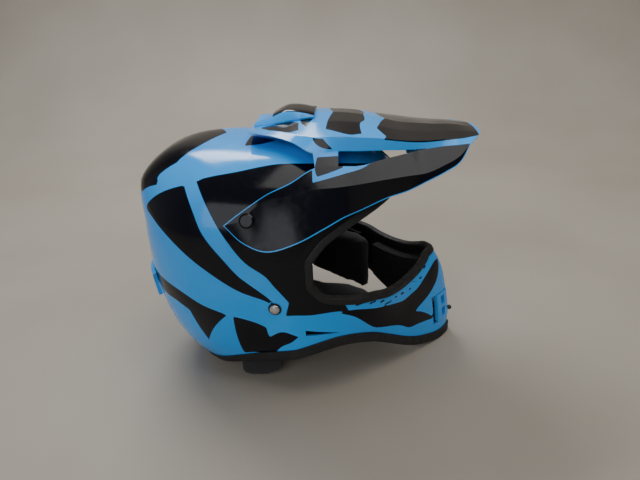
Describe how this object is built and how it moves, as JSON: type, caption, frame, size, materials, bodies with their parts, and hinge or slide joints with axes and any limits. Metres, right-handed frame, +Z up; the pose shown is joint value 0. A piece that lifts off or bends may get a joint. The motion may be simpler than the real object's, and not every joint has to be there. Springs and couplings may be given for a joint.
{
  "type": "motocross helmet",
  "caption": "Full-face off-road helmet with a long peak, open eye port, vented chin bar, foam liner, cheek pads and a ring-fastened chin strap.",
  "frame": {"origin": "centre of the footprint rectangle, on the floor that the nape and the chin rest on", "axes": "+X points forward out of the eye port, +Y is the wearer's left, +Z is up"},
  "size_m": [0.362, 0.2562, 0.278],
  "materials": {
    "shell_paint": "clear-coated blue with black areas",
    "peak_plastic": "gloss black with blue areas",
    "trim_rubber": "matt",
    "liner_foam": "moulded bead foam",
    "comfort_fabric": "brushed knit over soft foam",
    "strap_webbing": "woven webbing",
    "ring_steel": "bright",
    "vent_plastic": "satin black"
  },
  "bodies": {
    "helmet": {"shell": "shell_paint", "rear_spoiler": "shell_paint", "base_trim": "trim_rubber", "eyeport_trim": "trim_rubber", "strap_rivet_washer_right": "trim_rubber", "strap_rivet_washer_left": "trim_rubber", "eps_liner": "liner_foam", "chin_foam": "liner_foam", "cheek_block_right": "liner_foam", "cheek_block_left": "liner_foam", "crown_pad": "comfort_fabric", "neck_roll": "comfort_fabric", "cheek_pad_right": "comfort_fabric", "cheek_pad_left": "comfort_fabric", "chin_vent_mesh": "ring_steel", "strap_rivet_right": "ring_steel", "strap_rivet_left": "ring_steel", "strap_hanger_right": "ring_steel", "strap_hanger_left": "ring_steel", "peak_side_nut_right": "ring_steel", "peak_side_nut_left": "ring_steel", "peak_bracket": "vent_plastic", "peak_clamp_screw": "vent_plastic", "chin_vent_grille": "vent_plastic", "cheek_stud_plate_right": "vent_plastic", "cheek_stud_plate_left": "vent_plastic", "brow_vent_right": "vent_plastic", "brow_vent_left": "vent_plastic"},
    "peak_unit": {"peak": "peak_plastic", "peak_hood": "peak_plastic", "peak_side_screw_right": "vent_plastic", "peak_side_screw_left": "vent_plastic"},
    "vent_shutter": {"chin_vent_shutter": "vent_plastic"},
    "right_strap": {"strap_right": "strap_webbing", "strap_pad_right": "comfort_fabric", "strap_tail": "strap_webbing", "snap_stud": "vent_plastic"},
    "left_strap": {"strap_left": "strap_webbing", "strap_pad_left": "comfort_fabric", "d_ring_loop": "strap_webbing"},
    "d_rings": {"d_ring_front": "ring_steel", "d_ring_back": "ring_steel"}
  },
  "joints": [
    {"name": "peak_tilt", "type": "hinge", "parent": "helmet", "child": "peak_unit", "pos_m": [-0.04305, 0, 0.198], "axis": [0, 1, 0], "range_deg": [-2, 2.5]},
    {"name": "chin_vent_slide", "type": "slide", "parent": "helmet", "child": "vent_shutter", "axis": [-0.1195, 0, 0.9928], "range_m": [0, 0.006]},
    {"name": "strap_right_swing", "type": "hinge", "parent": "helmet", "child": "right_strap", "pos_m": [-0.026, -0.1098, 0.088], "axis": [1, 0, 0], "range_deg": [0, 10]},
    {"name": "strap_left_swing", "type": "hinge", "parent": "helmet", "child": "left_strap", "pos_m": [-0.026, 0.1098, 0.088], "axis": [-1, 0, 0], "range_deg": [0, 10]},
    {"name": "d_rings_swing", "type": "hinge", "parent": "left_strap", "child": "d_rings", "pos_m": [-0.05305, 0.0733, 0.024], "axis": [-1, 0, 0], "range_deg": [-8, 60]}
  ]
}
